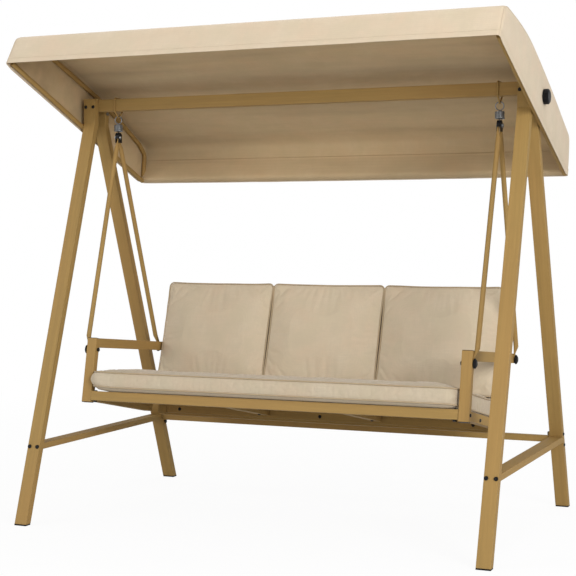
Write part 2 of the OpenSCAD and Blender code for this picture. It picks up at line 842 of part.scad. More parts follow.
module armrest(side) {
    front_u = post_u + post_t + 0.2;
    color(tan_paint) mirrored(side) seat_frame() difference() {
        translate([arm_x, post_u, post_top]) rotate([arm_rise, 0, 0])
            translate([0, 0, -arm_h]) tube_along_y([arm_w, (arm_end_u - post_u) / cos(arm_rise), arm_h]);
        translate([arm_x - 1, post_u - 50, 0]) cube([arm_w + 2, 50 + front_u - post_u, 300]);
        rod_holes();
    }
}

// Plastic plugs in the open ends of the posts, armrests and back uprights
module arm_plugs() {
    lip = 2;
    inner = wall + gap;
    color(black) both_sides() {
        seat_frame() {
            for (z = [post_low - lip, post_top]) {
                translate([arm_x + 0.5, post_u + 0.5, z]) cube([arm_w - 1, post_t - 1, lip]);
            }
            translate([arm_x + inner, post_u + inner, post_low - 0.5])
                cube([arm_w - 2 * inner, post_t - 2 * inner, plug_depth / 2]);
            translate([arm_x + inner, post_u + inner, post_top - plug_depth])
                cube([arm_w - 2 * inner, post_t - 2 * inner, plug_depth + 0.5]);
            translate([arm_x, post_u, post_top]) rotate([arm_rise, 0, 0])
                translate([0.5, (arm_end_u - post_u) / cos(arm_rise), 0.5 - arm_h])
                cube([arm_w - 1, lip, arm_h - 1]);
            translate([arm_x + 0.5, side_rail_end, side_rail_top - side_rail_h + 0.5])
                cube([arm_w - 1, lip, side_rail_h - 1]);
        }
        back_frame() translate([rail_x - back_w + 0.5, 0.5, back_len]) cube([back_w - 1, back_t - 1, lip]);
    }
}

module front_rail() {
    color(tan_paint) seat_frame() difference() {
        translate([-rail_x, 0, -rail_h]) tube_along_x([2 * rail_x, rail_t, rail_h]);
        both_sides() translate([corner_bolt_x, rail_t / 2, -rail_h - 1])
            cylinder(h = rail_h + 2, r = bolt_hole_r);
    }
}

// Places its children at the bolts under the middle rails
module middle_rail_bolts() {
    for (u = [60, seat_depth - 100]) {
        translate([middle_x, u, side_rail_top - middle_rail_h - 0.2]) children();
    }
}

module rear_rail() {
    color(tan_paint) seat_frame() difference() {
        translate([-rail_x, back_foot_u + back_t + 0.6, -rear_rail_h - 2])
            tube_along_x([2 * rail_x, seat_depth - back_foot_u - back_t - 0.6, rear_rail_h]);
        back_bolt_holes();
    }
}

module back_bolt_holes() {
    for (x = back_bolts) {
        bar_y(back_foot_u - 1, seat_depth + 1, x, back_bolt_z, bolt_hole_r);
    }
}

module side_rail(side) {
    start = post_u + post_t + 0.2;
    color(tan_paint) mirrored(side) seat_frame() difference() {
        translate([arm_x, start, side_rail_top - side_rail_h])
            tube_along_y([arm_w, side_rail_end - start, side_rail_h]);
        side_rail_bolts() translate([0, 0, -wall - 1]) cylinder(h = wall + 2, r = bolt_hole_r);
    }
}

// Places its children at the bolts of a side rail, with +Z pointing out of its wall
module side_rail_bolts() {
    outer_u = 143;
    lower_u = 38;
    bottom = side_rail_top - side_rail_h;
    translate([arm_x + arm_w, outer_u, bottom + 11]) rotate([0, 90, 0]) children();
    translate([arm_x + arm_w / 2, lower_u, bottom]) rotate([180, 0, 0]) children();
}

module middle_rails() {
    length = back_foot_u - rail_t - 0.4;
    color(tan_paint) both_sides() seat_frame() difference() {
        translate([middle_x - arm_w / 2, rail_t + 0.2, side_rail_top - middle_rail_h - 0.2])
            tube_along_y([arm_w, length, middle_rail_h]);
        middle_rail_bolts() translate([0, 0, -1]) cylinder(h = wall + 2, r = bolt_hole_r);
    }
}

// Flat slats across the rails; the last one also ties the ends of the side rails to the back frame
module seat_slats() {
    count = 5;
    first = 60;
    step = 92;
    half = arm_x + 20;
    last = 466;
    color(tan_paint) seat_frame() {
        for (i = [0 : count - 1]) {
            translate([-half, first + i * step, side_rail_top]) cube([2 * half, slat_w, slat_t]);
        }
        translate([-half, last, side_rail_top]) cube([2 * half, back_foot_u - last - 0.6, slat_t]);
    }
}

// ---------- back frame ----------

module back_upright(side) {
    color(tan_paint) mirrored(side) difference() {
        back_frame() translate([rail_x - back_w, 0, -rail_h])
            tube_along_z([back_w, back_t, back_len + rail_h]);
        seat_frame() rod_holes();
    }
}

module back_centre_upright() {
    color(tan_paint) back_frame() translate([-back_w / 2, 0, 2])
        tube_along_z([back_w, back_t, back_len - top_rail_h - 2.2]);
}

module back_bottom_rail() {
    half = rail_x - back_w - 0.2;
    color(tan_paint) seat_frame() difference() {
        translate([-half, back_foot_u, -rail_h + 1]) tube_along_x([2 * half, back_t, rail_h - 3]);
        back_bolt_holes();
    }
}

module back_top_rail() {
    half = rail_x - back_w - 0.2;
    color(tan_paint) back_frame() translate([-half, 0, back_len - top_rail_h])
        tube_along_x([2 * half, back_t, top_rail_h]);
}

module back_slats() {
    inner = back_w / 2 + 0.2;
    outer = rail_x - back_w - 0.2;
    color(tan_paint) both_sides() back_frame() {
        for (z = back_slat_low) {
            translate([inner, 1, z]) tube_along_x([outer - inner, back_t - 2, back_slat_h]);
        }
    }
}

module seat_bolts() {
    back_grip = seat_depth - back_foot_u;
    color(black) seat_frame() {
        both_sides() {
            side_rail_bolts() rotate([180, 0, 0]) bolt(short_bolt, 0);
            translate([arm_x + arm_w, post_bolt[0], post_bolt[1]]) rotate([0, -90, 0]) bolt(arm_w + 8, 0);
            translate([corner_bolt_x, rail_t / 2, 0]) rotate([180, 0, 0])
                bolt(rail_h + nut_h, rail_h + 0.1);
            middle_rail_bolts() bolt(short_bolt, 0);
        }
        for (x = back_bolts) {
            translate([x, back_foot_u, back_bolt_z]) rotate([-90, 0, 0])
                bolt(back_grip + nut_h, back_grip + 0.1);
        }
    }
}

// ---------- cushions ----------

// Block with rounded upright edges, standing on z = 0
module rounded_block(size, r) {
    linear_extrude(height = size[2]) {
        translate([r, 0]) square([size[0] - 2 * r, size[1]]);
        translate([0, r]) square([size[0], size[1] - 2 * r]);
        for (x = [r, size[0] - r], y = [r, size[1] - r]) {
            translate([x, y]) circle(r = r);
        }
    }
}

module seat_cushion() {
    half = rail_x - 10;
    front_u = -30;
    rear_u = 532;
    corner = 24;
    color(cushion_cloth) seat_frame() translate([-half, front_u, bolt_head_h + 1])
        rounded_block([2 * half, rear_u - front_u, seat_cushion_t], corner);
}

module back_cushion(place) {
    width = 471;
    height = 413;
    low = 87.5;
    spacing = 474;
    corner = 14;
    color(cushion_cloth) back_frame() translate([place * spacing - width / 2, -1, low]) rotate([90, 0, 0])
        rounded_block([width, height, back_cushion_t], corner);
}

// ---------- assembly ----------

leg_front(-1);  // leg_front_left
leg_front(1);  // leg_front_right
leg_rear(-1);  // leg_rear_left
leg_rear(1);  // leg_rear_right
crossbar();
side_brace(-1);  // side_brace_left
side_brace(1);  // side_brace_right
rear_crossbar();
foot_caps();
tube_plugs();
stand_bolts();
hanger_loops();
pivot_bolts();
canopy_knob(-1);  // canopy_knob_left
canopy_knob(1);  // canopy_knob_right
canopy_upper_tube(-1);  // canopy_upper_tube_left
canopy_upper_tube(1);  // canopy_upper_tube_right
canopy_lower_tube(-1);  // canopy_lower_tube_left
canopy_lower_tube(1);  // canopy_lower_tube_right
canopy_front_tube();
canopy_rear_tube();
canopy_straps();
canopy_cover();
spring_eyes();
spring_coil(-1);  // spring_left
spring_coil(1);  // spring_right
spring_hooks();
rod_top_caps();
rod_top_bolts();
rod_front(-1);  // rod_front_left
rod_front(1);  // rod_front_right
rod_rear(-1);  // rod_rear_left
rod_rear(1);  // rod_rear_right
rod_end_caps();
rod_bolts();
post(-1);  // post_left
post(1);  // post_right
armrest(-1);  // armrest_left
armrest(1);  // armrest_right
arm_plugs();
front_rail();
rear_rail();
side_rail(-1);  // side_rail_left
side_rail(1);  // side_rail_right
middle_rails();
seat_slats();
back_upright(-1);  // back_upright_left
back_upright(1);  // back_upright_right
back_centre_upright();
back_bottom_rail();
back_top_rail();
back_slats();
seat_bolts();
seat_cushion();
back_cushion(-1);  // back_cushion_left
back_cushion(0);  // back_cushion_middle
back_cushion(1);  // back_cushion_right
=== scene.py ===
"""Canopy swing bench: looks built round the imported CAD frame. Metres, in the CAD part's own axes."""
import math

import bmesh
import bpy
import numpy as np
from mathutils import Matrix, Vector, noise


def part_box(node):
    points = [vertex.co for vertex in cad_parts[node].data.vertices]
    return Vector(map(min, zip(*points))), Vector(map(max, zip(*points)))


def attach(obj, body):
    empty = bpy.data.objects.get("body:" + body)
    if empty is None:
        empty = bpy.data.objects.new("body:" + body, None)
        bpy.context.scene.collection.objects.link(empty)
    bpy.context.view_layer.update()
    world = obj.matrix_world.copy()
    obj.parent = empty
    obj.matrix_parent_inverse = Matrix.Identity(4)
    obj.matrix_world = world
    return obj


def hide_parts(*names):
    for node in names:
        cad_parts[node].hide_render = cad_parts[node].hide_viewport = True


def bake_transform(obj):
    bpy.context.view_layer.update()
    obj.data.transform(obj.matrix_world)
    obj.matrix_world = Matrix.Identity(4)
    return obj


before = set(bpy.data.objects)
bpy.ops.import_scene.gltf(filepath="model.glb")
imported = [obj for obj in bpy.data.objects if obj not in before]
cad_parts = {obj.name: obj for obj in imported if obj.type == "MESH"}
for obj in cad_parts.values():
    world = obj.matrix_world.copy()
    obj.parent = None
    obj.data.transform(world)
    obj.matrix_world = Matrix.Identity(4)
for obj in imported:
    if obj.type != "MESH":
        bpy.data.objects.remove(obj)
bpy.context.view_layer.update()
MM = 0.001

# ---------- the three tilted frames that the object is laid out in ----------

SEAT_ORIGIN = Vector((0, -0.342, 0.480))
SEAT_TILT = math.radians(11.3)
BACK_FOOT = 0.543
BACK_LEAN = math.radians(5.7)
CANOPY_ORIGIN = Vector((0, -0.594, 1.695))
CANOPY_TILT = math.radians(21.6)

SEAT_FRAME = Matrix.Translation(SEAT_ORIGIN) @ Matrix.Rotation(-SEAT_TILT, 4, "X")
BACK_FRAME = SEAT_FRAME @ Matrix.Translation((0, BACK_FOOT, 0)) @ Matrix.Rotation(-BACK_LEAN, 4, "X")
CANOPY_FRAME = Matrix.Translation(CANOPY_ORIGIN) @ Matrix.Rotation(-CANOPY_TILT, 4, "X")

# ---------- curves ----------


def bezier(a, b, c, d, n):
    """n points after a, along a cubic curve from a to d."""
    out = []
    for i in range(1, n + 1):
        t = i / n
        s = 1 - t
        out.append(a * s**3 + b * 3 * s * s * t + c * 3 * s * t * t + d * t**3)
    return out


def through_points(p, n):
    """n points for each stretch of a smooth curve through p, after the first point."""
    out = []
    for k in range(len(p) - 1):
        a, b, c, d = p[max(k - 1, 0)], p[k], p[k + 1], p[min(k + 2, len(p) - 1)]
        for i in range(1, n + 1):
            t = i / n
            bow = (a * 2 - b * 5 + c * 4 - d) * t * t + (b * 3 - a - c * 3 + d) * t**3
            out.append((b * 2 + (c - a) * t + bow) * 0.5)
    return out


def evenly(points, step):
    """The same line with points about step apart."""
    lengths = [0.0]
    for a, b in zip(points, points[1:]):
        lengths.append(lengths[-1] + (b - a).length)
    count = max(2, round(lengths[-1] / step))
    out = []
    k = 0
    for i in range(count + 1):
        s = lengths[-1] * i / count
        while k < len(points) - 2 and lengths[k + 1] < s:
            k += 1
        t = (s - lengths[k]) / (lengths[k + 1] - lengths[k])
        out.append(points[k].lerp(points[k + 1], min(max(t, 0), 1)))
    return out


# ---------- meshes ----------


def mesh_object(name, verts, faces, smooth=True):
    """A new object in the scene, made from vertices and faces."""
    mesh = bpy.data.meshes.new(name)
    mesh.from_pydata([tuple(v) for v in verts], [], faces)
    mesh.validate()
    for p in mesh.polygons:
        p.use_smooth = smooth
    obj = bpy.data.objects.new(name, mesh)
    bpy.context.scene.collection.objects.link(obj)
    return obj


def tube_data(points, radius, sides, closed):
    """Vertices and faces of a round tube along the points."""
    n = len(points)
    verts, faces = [], []
    side = None
    for i, p in enumerate(points):
        ahead = points[(i + 1) % n] if closed or i < n - 1 else p
        behind = points[i - 1] if closed or i > 0 else p
        way = (ahead - behind).normalized()
        if side is None:
            side = way.orthogonal().normalized()
        side = (side - way * side.dot(way)).normalized()
        up = way.cross(side)
        for j in range(sides):
            a = 2 * math.pi * j / sides
            verts.append(p + (side * math.cos(a) + up * math.sin(a)) * radius)
    for i in range(n if closed else n - 1):
        a, b = i * sides, ((i + 1) % n) * sides
        for j in range(sides):
            k = (j + 1) % sides
            faces.append((a + j, a + k, b + k, b + j))
    if not closed:
        faces.append(tuple(range(sides - 1, -1, -1)))
        faces.append(tuple((n - 1) * sides + j for j in range(sides)))
    return verts, faces


def joined(parts):
    """Several (vertices, faces) as one."""
    verts, faces = [], []
    for v, f in parts:
        base = len(verts)
        verts += v
        faces += [tuple(i + base for i in face) for face in f]
    return verts, faces


def placed(obj, matrix):
    """Moves an object's mesh itself, so that the object stays at the origin."""
    obj.data.transform(matrix)
    return obj


# ---------- material building blocks ----------


class Look:
    """A material under construction: short calls that add a node and return its output."""

    def __init__(self, name):
        self.material = bpy.data.materials.new(name)
        self.material.use_nodes = True
        self.tree = self.material.node_tree
        self.shader = self.tree.nodes["Principled BSDF"]
        self.place = self.tree.nodes.new("ShaderNodeTexCoord").outputs["Object"]

    def add(self, kind, inputs=None, out=0, **settings):
        node = self.tree.nodes.new(kind)
        for key, value in settings.items():
            setattr(node, key, value)
        for key, value in (inputs or {}).items():
            self.put(node.inputs[key], value)
        return node.outputs[out]

    def put(self, socket, value):
        if isinstance(value, bpy.types.NodeSocket):
            self.tree.links.new(value, socket)
        else:
            socket.default_value = value

    def turned(self, matrix):
        """Coordinates in a frame whose axes are the matrix's columns."""
        back = matrix.to_3x3().transposed()
        return self.add("ShaderNodeMapping", {"Vector": self.place, "Rotation": back.to_euler()})

    def scaled(self, vector, scale):
        return self.add("ShaderNodeMapping", {"Vector": vector, "Scale": scale})

    def noise(self, vector, scale, detail=3.0, rough=0.5):
        inputs = {"Vector": vector, "Scale": scale, "Detail": detail, "Roughness": rough}
        return self.add("ShaderNodeTexNoise", inputs)

    def waves(self, vector, direction, period, distortion=0.0):
        """Bands of the given period in metres along one axis, from 0 to 1."""
        inputs = {"Vector": vector, "Scale": 2 * math.pi / 20 / period, "Distortion": distortion}
        inputs.update({"Detail": 1.0, "Detail Scale": 2.0})
        return self.add("ShaderNodeTexWave", inputs, out="Fac", bands_direction=direction)

    def math(self, operation, a, b=0.0, clamp=False):
        return self.add("ShaderNodeMath", {0: a, 1: b}, operation=operation, use_clamp=clamp)

    def span(self, value, low, high, to_low=0.0, to_high=1.0):
        inputs = {"Value": value, "From Min": low, "From Max": high, "To Min": to_low, "To Max": to_high}
        return self.add("ShaderNodeMapRange", inputs)

    def mix(self, factor, a, b, blend="MIX"):
        node = self.tree.nodes.new("ShaderNodeMix")
        node.data_type = "RGBA"
        node.blend_type = blend
        self.put(node.inputs[0], factor)
        self.put(node.inputs[6], a if isinstance(a, bpy.types.NodeSocket) else (*a, 1.0)[:4])
        self.put(node.inputs[7], b if isinstance(b, bpy.types.NodeSocket) else (*b, 1.0)[:4])
        return node.outputs[2]

    def bump(self, height, distance, strength=1.0, normal=None):
        inputs = {"Height": height, "Distance": distance, "Strength": strength}
        if normal is not None:
            inputs["Normal"] = normal
        return self.add("ShaderNodeBump", inputs)

    def finish(self, **values):
        """Sets the shader's inputs, named with underscores for spaces, and returns the material."""
        for key, value in values.items():
            self.put(self.shader.inputs[key.replace("_", " ")], value)
        return self.material


def shade(colour, factor):
    """The same colour, lighter or darker."""
    return tuple(c * factor for c in colour)


# ---------- colours ----------

PAINT = (0.342, 0.218, 0.072)
PAINT_WARM = (0.36, 0.20, 0.068)
PAINT_WORN = (0.50, 0.37, 0.18)
BLACK = (0.0035, 0.0035, 0.004)
BLACK_WORN = (0.05, 0.05, 0.05)
ZINC = (0.26, 0.27, 0.28)
CANOPY_CLOTH = (0.605, 0.505, 0.372)
# Painted shade and bounce light: the canopy cloth made darker and yellower, for its inner face and the rear
# sleeve.
CANOPY_UNDERSIDE_SHADED = (0.575, 0.435, 0.258)
CUSHION_CLOTH = (0.600, 0.508, 0.375)
# Painted shade: the cushion cloth darkened for the piping cords, standing in for the shadow lines along the
# seams.
PIPING_CLOTH_SHADED = (0.440, 0.345, 0.225)
FLOOR_PALE = (0.92, 0.92, 0.92)
FLOOR_SPECK = (0.88, 0.88, 0.88)
FLOOR_GLOW = 0.93
FLOOR_FADE = (1.3, 4.5)
FLOOR_BOUNCE = 0.70

# ---------- materials ----------


def wood_paint(name, along):
    """Tan paint with a fine wood-like grain that runs along a tube."""
    look = Look(name)
    x = Vector(along).normalized()
    y = x.orthogonal().normalized()
    z = x.cross(y)
    axes = Matrix((x, y, z)).transposed()
    local = look.turned(axes)
    grain = look.noise(look.scaled(local, (3.2, 90, 90)), 1.0, 4, 0.6)
    fine = look.noise(look.scaled(local, (18, 520, 520)), 1.0, 3, 0.6)
    broad = look.noise(look.scaled(local, (1.3, 7, 7)), 1.0, 2, 0.5)
    base = look.mix(look.span(grain, 0.32, 0.68), shade(PAINT, 0.87), shade(PAINT, 1.07))
    base = look.mix(look.span(fine, 0.35, 0.7, 0.0, 0.32), base, shade(PAINT, 0.72))
    base = look.mix(look.span(broad, 0.35, 0.65, 0.0, 0.35), base, PAINT_WARM)
    rounded = look.add("ShaderNodeBevel", {"Radius": 2.2 * MM}, samples=4)
    flat = look.add("ShaderNodeNewGeometry", out="Normal")
    match = look.add("ShaderNodeVectorMath", {0: rounded, 1: flat}, out="Value", operation="DOT_PRODUCT")
    edge = look.span(match, 0.80, 0.985, 1.0, 0.0)
    scuffs = look.span(look.noise(local, 38, 4, 0.7), 0.42, 0.62)
    worn = look.math("MULTIPLY", edge, look.math("MULTIPLY", scuffs, 0.45))
    base = look.mix(worn, base, PAINT_WORN)
    height = look.math("ADD", look.math("MULTIPLY", grain, 0.7), look.math("MULTIPLY", fine, 0.3))
    rough = look.span(grain, 0.3, 0.7, 0.50, 0.64)
    return look.finish(
        Base_Color=base, Roughness=rough, Specular_IOR_Level=0.16,
        Normal=look.bump(height, 0.12 * MM, 0.8, rounded)
    )


def black_plastic():
    look = Look("black_plastic")
    pebble = look.noise(look.place, 900, 2, 0.5)
    cloudy = look.noise(look.place, 45, 3, 0.6)
    base = look.mix(look.span(cloudy, 0.3, 0.7), BLACK, shade(BLACK, 2.1))
    return look.finish(
        Base_Color=base, Roughness=look.span(cloudy, 0.3, 0.7, 0.30, 0.46), Specular_IOR_Level=0.16,
        Normal=look.bump(pebble, 0.05 * MM, 0.7)
    )


def black_steel():
    look = Look("black_steel")
    wear = look.noise(look.place, 320, 4, 0.6)
    base = look.mix(look.span(wear, 0.5, 0.75), BLACK, BLACK_WORN)
    return look.finish(
        Base_Color=base, Metallic=0.3, Roughness=look.span(wear, 0.3, 0.7, 0.34, 0.5),
        Specular_IOR_Level=0.3, Normal=look.bump(wear, 0.03 * MM, 0.6)
    )


def zinc_steel():
    look = Look("zinc_steel")
    cloudy = look.noise(look.place, 170, 4, 0.6)
    streak = look.noise(look.scaled(look.place, (900, 900, 120)), 1.0, 3, 0.6)
    base = look.mix(look.span(cloudy, 0.3, 0.7), shade(ZINC, 0.75), shade(ZINC, 1.25))
    return look.finish(
        Base_Color=base, Metallic=0.9, Roughness=look.span(cloudy, 0.3, 0.7, 0.28, 0.46),
        Normal=look.bump(streak, 0.03 * MM, 0.5)
    )


def woven_cloth(name, colour, axes, thread, slub, sheen, shade_streaks=0.0):
    """Plain-woven cloth: threads both ways, slubs along them, a soft uneven dye, painted shade in the
    hollows of the weave, and painted shade streaks if asked.
    """
    look = Look(name)
    local = look.turned(axes)
    warp = look.noise(look.scaled(local, (230, 14, 14)), 1.0, 4, 0.62)
    weft = look.noise(look.scaled(local, (12, 210, 210)), 1.0, 4, 0.62)
    dye = look.noise(local, 7.5, 4, 0.55)
    mottle = look.noise(local, 46, 3, 0.6)
    base = look.mix(look.span(warp, 0.3, 0.7), shade(colour, 1 - slub), shade(colour, 1 + slub * 0.7))
    cross = look.mix(look.span(weft, 0.3, 0.7), shade(colour, 1 - slub), shade(colour, 1 + slub * 0.7))
    base = look.mix(0.5, base, cross)
    warm = (colour[0] * 0.98, colour[1] * 0.90, colour[2] * 0.86)
    cool = (colour[0] * 0.95, colour[1] * 1.0, colour[2] * 0.92)
    base = look.mix(look.span(dye, 0.35, 0.65, 0.0, 0.6), base, warm)
    base = look.mix(look.span(look.noise(local, 11.0, 3, 0.5), 0.45, 0.65, 0.0, 0.6), base, cool)
    base = look.mix(look.span(mottle, 0.4, 0.7, 0.0, 0.22), base, shade(colour, 0.86))
    blotch = look.noise(look.scaled(local, (11, 11, 11)), 1.0, 4, 0.65)
    dusky = shade((colour[0], colour[1] * 0.96, colour[2] * 0.98), 0.90)
    base = look.mix(look.span(blotch, 0.42, 0.64, 0.0, 0.45), base, dusky)
    # Painted shade: dark bands running across the cloth along X, as strong as the last argument says.
    shade_streak_noise = look.noise(look.scaled(local, (1.1, 9, 9)), 1.0, 3, 0.55)
    base = look.mix(look.span(shade_streak_noise, 0.42, 0.68, 0.0, shade_streaks), base, shade(colour, 0.62))
    threads = [look.waves(local, axis, thread, 0.35) for axis in "XYZ"]
    weave = look.math("ADD", look.math("ADD", threads[0], threads[1]), threads[2])
    # Painted shade: up to a tenth of the way to a darker tone where the thread bands run low, in the
    # hollows of the weave.
    base = look.mix(look.span(weave, 0.6, 2.4, 0.10, 0.0), base, shade(colour, 0.6))
    slubs = look.math("ADD", warp, weft)
    normal = look.bump(slubs, 0.35 * MM, 0.5)
    normal = look.bump(weave, 0.10 * MM, 0.7, normal)
    return look.finish(
        Base_Color=base, Roughness=0.92, Normal=normal, Sheen_Weight=sheen, Sheen_Roughness=0.45,
        Sheen_Tint=(1.0, 0.94, 0.86, 1.0), Specular_IOR_Level=0.18
    )


def floor_look():
    """Pale floor, nearly white to the eye, that throws back only a soft light."""
    look = Look("pale_floor")
    speckle = look.noise(look.place, 3.0, 3, 0.5)
    look.finish(
        Base_Color=look.mix(look.span(speckle, 0.3, 0.7), FLOOR_SPECK, FLOOR_PALE),
        Roughness=0.85, Specular_IOR_Level=0.1
    )
    tree = look.tree
    glow = tree.nodes.new("ShaderNodeEmission")
    bright = tree.nodes.new("ShaderNodeMixShader")
    distance = look.add("ShaderNodeVectorMath", {0: look.place}, out="Value", operation="LENGTH")
    look.put(bright.inputs[0], look.span(distance, *FLOOR_FADE, FLOOR_GLOW, 1.0))
    look.put(bright.inputs[1], look.shader.outputs[0])
    look.put(bright.inputs[2], glow.outputs[0])
    dull = look.add("ShaderNodeBsdfDiffuse", {"Color": (FLOOR_BOUNCE, FLOOR_BOUNCE, FLOOR_BOUNCE, 1)})
    seen = tree.nodes.new("ShaderNodeMixShader")
    look.put(seen.inputs[0], tree.nodes.new("ShaderNodeLightPath").outputs["Is Camera Ray"])
    look.put(seen.inputs[1], dull)
    look.put(seen.inputs[2], bright.outputs[0])
    look.put(tree.nodes["Material Output"].inputs["Surface"], seen.outputs[0])
    return look.material


# ---------- CAD nodes: materials and rounded edges ----------


def dressed(name, material, edge=0.0):
    """Gives a CAD node its material and, where edge isn't zero, small rounded edges."""
    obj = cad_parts[name]
    obj.data.materials.clear()
    obj.data.materials.append(material)
    if edge > 0:
        for p in obj.data.polygons:
            p.use_smooth = False
        obj.modifiers.new("joined", "WELD").merge_threshold = 0.02 * MM
        flat = obj.modifiers.new("whole faces", "DECIMATE")
        flat.decimate_type = "DISSOLVE"
        flat.angle_limit = math.radians(1)
        bevel = obj.modifiers.new("soft edges", "BEVEL")
        bevel.width = edge
        bevel.segments = 3
        bevel.limit_method = "ANGLE"
        bevel.angle_limit = math.radians(50)


FRONT_LEG_WAY = (0, 0.3153, 0.949)
REAR_LEG_WAY = (0, -0.357, 0.934)
FRONT_ROD_WAY = (0, -0.30, -0.95)
REAR_ROD_WAY = (0, 0.33, -0.94)
SEAT_BACK_WAY = SEAT_FRAME.to_3x3() @ Vector((0, 1, 0))
SEAT_UP_WAY = SEAT_FRAME.to_3x3() @ Vector((0, 0, 1))
ARM_WAY = SEAT_FRAME.to_3x3() @ Vector((0, 1, 0.103))
BACK_UP_WAY = BACK_FRAME.to_3x3() @ Vector((0, 0, 1))
CANOPY_WAY = CANOPY_FRAME.to_3x3() @ Vector((0, 1, 0))
ALONG_X = (1, 0, 0)
BOX_TUBE_EDGE = 0.7 * MM
CAP_EDGE = 0.6 * MM

# Each paint: the way its grain runs, and the CAD nodes that wear it.
GRAIN = {
    "along_x": (ALONG_X, [
        "crossbar", "rear_crossbar", "front_rail", "rear_rail", "seat_slats", "back_bottom_rail",
        "back_top_rail", "back_slats", "canopy_front_tube", "canopy_rear_tube"]),
    "front_legs": (FRONT_LEG_WAY, ["leg_front_left", "leg_front_right"]),
    "rear_legs": (REAR_LEG_WAY, ["leg_rear_left", "leg_rear_right"]),
    "braces": ((0, 1, 0), ["side_brace_left", "side_brace_right"]),
    "seat_rails": (SEAT_BACK_WAY, ["side_rail_left", "side_rail_right", "middle_rails"]),
    "arms": (ARM_WAY, ["armrest_left", "armrest_right"]),
    "posts": (SEAT_UP_WAY, ["post_left", "post_right"]),
    "back_posts": (BACK_UP_WAY, ["back_upright_left", "back_upright_right", "back_centre_upright"]),
    "canopy_sides": (CANOPY_WAY, [
        "canopy_upper_tube_left", "canopy_upper_tube_right", "canopy_lower_tube_left",
        "canopy_lower_tube_right", "canopy_straps"]),
    "front_rods": (FRONT_ROD_WAY, ["rod_front_left", "rod_front_right"]),
    "rear_rods": (REAR_ROD_WAY, ["rod_rear_left", "rod_rear_right"]),
    "loops": ((0, 0, 1), ["hanger_loops"]),
}
ROUND_NODES = {
    "canopy_upper_tube_left", "canopy_upper_tube_right", "canopy_lower_tube_left",
    "canopy_lower_tube_right", "canopy_front_tube", "canopy_rear_tube", "hanger_loops",
    "rod_front_left", "rod_front_right", "rod_rear_left", "rod_rear_right"
}


def dress_frame():
    """Gives every CAD node its material, and returns the zinc for the springs."""
    for group, (way, nodes) in GRAIN.items():
        paint = wood_paint("paint_" + group, way)
        for node in nodes:
            dressed(node, paint, 0 if node in ROUND_NODES else BOX_TUBE_EDGE)
    plastic, steel, zinc = black_plastic(), black_steel(), zinc_steel()
    for node in ("foot_caps", "tube_plugs", "arm_plugs"):
        dressed(node, plastic, CAP_EDGE)
    for node in ("rod_top_caps", "rod_end_caps", "canopy_knob_left", "canopy_knob_right"):
        dressed(node, plastic)
    for node in ("stand_bolts", "seat_bolts", "rod_bolts"):
        dressed(node, steel)
    for node in ("pivot_bolts", "rod_top_bolts", "spring_eyes", "spring_hooks"):
        dressed(node, zinc)
    return zinc


# ---------- springs ----------

SPRING_WIRE = 2.25 * MM
SPRING_TURNS = 6


def coil_spring(side, material):
    """Close-wound coil between the eye above and the hook below."""
    node = "spring_" + side
    lo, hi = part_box(node)
    middle = (lo + hi) / 2
    wire = SPRING_WIRE
    radius = (hi.x - lo.x) / 2 - wire
    turns, steps = SPRING_TURNS, 28
    low, high = lo.z + wire, hi.z - wire
    points = []
    for i in range(turns * steps + 1):
        a = 2 * math.pi * i / steps
        z = low + (high - low) * i / (turns * steps)
        points.append(Vector((middle.x + radius * math.cos(a), middle.y + radius * math.sin(a), z)))
    for end, z, sign in ((points[0], low, -1), (points[-1], high, 1)):
        run = [end.lerp(Vector((middle.x, middle.y, z + sign * wire)), t) for t in (0.25, 0.5, 0.75)]
        points = run[::-1] + points if sign < 0 else points + run
    obj = mesh_object("spring_wire_" + side, *tube_data(points, wire, 10, False))
    obj.data.materials.append(material)
    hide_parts(node)
    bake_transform(obj)
    return obj


# ---------- canopy ----------

CANOPY_HALF = 0.9212
CLOTH = 1.3 * MM
EDGE_ROUND = 0.013
LOWEST = 0.4 * MM
PROFILE_STEP = 0.0095
ROOF_SPANS = 96
SIDE_ROWS = 14
KNOB_AT = (0.61, 0.091)
HEM_HEIGHT = 24 * MM
# The hem band's section, inside to outside: millimetres out of the cloth, and parts of its height.
HEM_SECTION = [
    (-1.9, 0.0), (-1.9, 0.985), (-1.3, 1.0), (0.5, 1.0), (0.7, 0.98), (0.7, 0.02), (0.3, -0.03),
    (-1.5, -0.03)
]
STITCH_HEIGHT, STITCH_PROUD = 20 * MM, 0.75 * MM
STITCH_PITCH, STITCH_LENGTH, STITCH_WIDTH = 7.5 * MM, 5.0 * MM, 0.55 * MM
SLEEVE_RADIUS = 10.3 * MM
SLEEVE_SPANS = 160


def roof_profile():
    """Side outline of the canopy from the front hem over the roof to the rear hem: (back, up) in metres."""
    def p(u, v):
        return Vector((u * MM, v * MM))

    line = [p(0.8, 0.5), p(14.8, 68), p(21.3, 100)]
    line += bezier(p(21.3, 100), p(27, 127), p(53, 136), p(88, 143), 8)
    roof = [p(88, 143), p(258, 175.5), p(421, 189), p(717, 179), p(924, 162.5), p(1032, 154)]
    line += through_points(roof, 8)
    line += bezier(p(1032, 154), p(1055, 152), p(1066, 144), p(1070, 128), 8)
    line += [p(1095.2, 0.5)]
    return line


PROFILE = evenly(roof_profile(), PROFILE_STEP)
LAST = len(PROFILE) - 1


def smoothstep(low, high, x):
    t = min(max((x - low) / (high - low), 0.0), 1.0)
    return t * t * (3 - 2 * t)


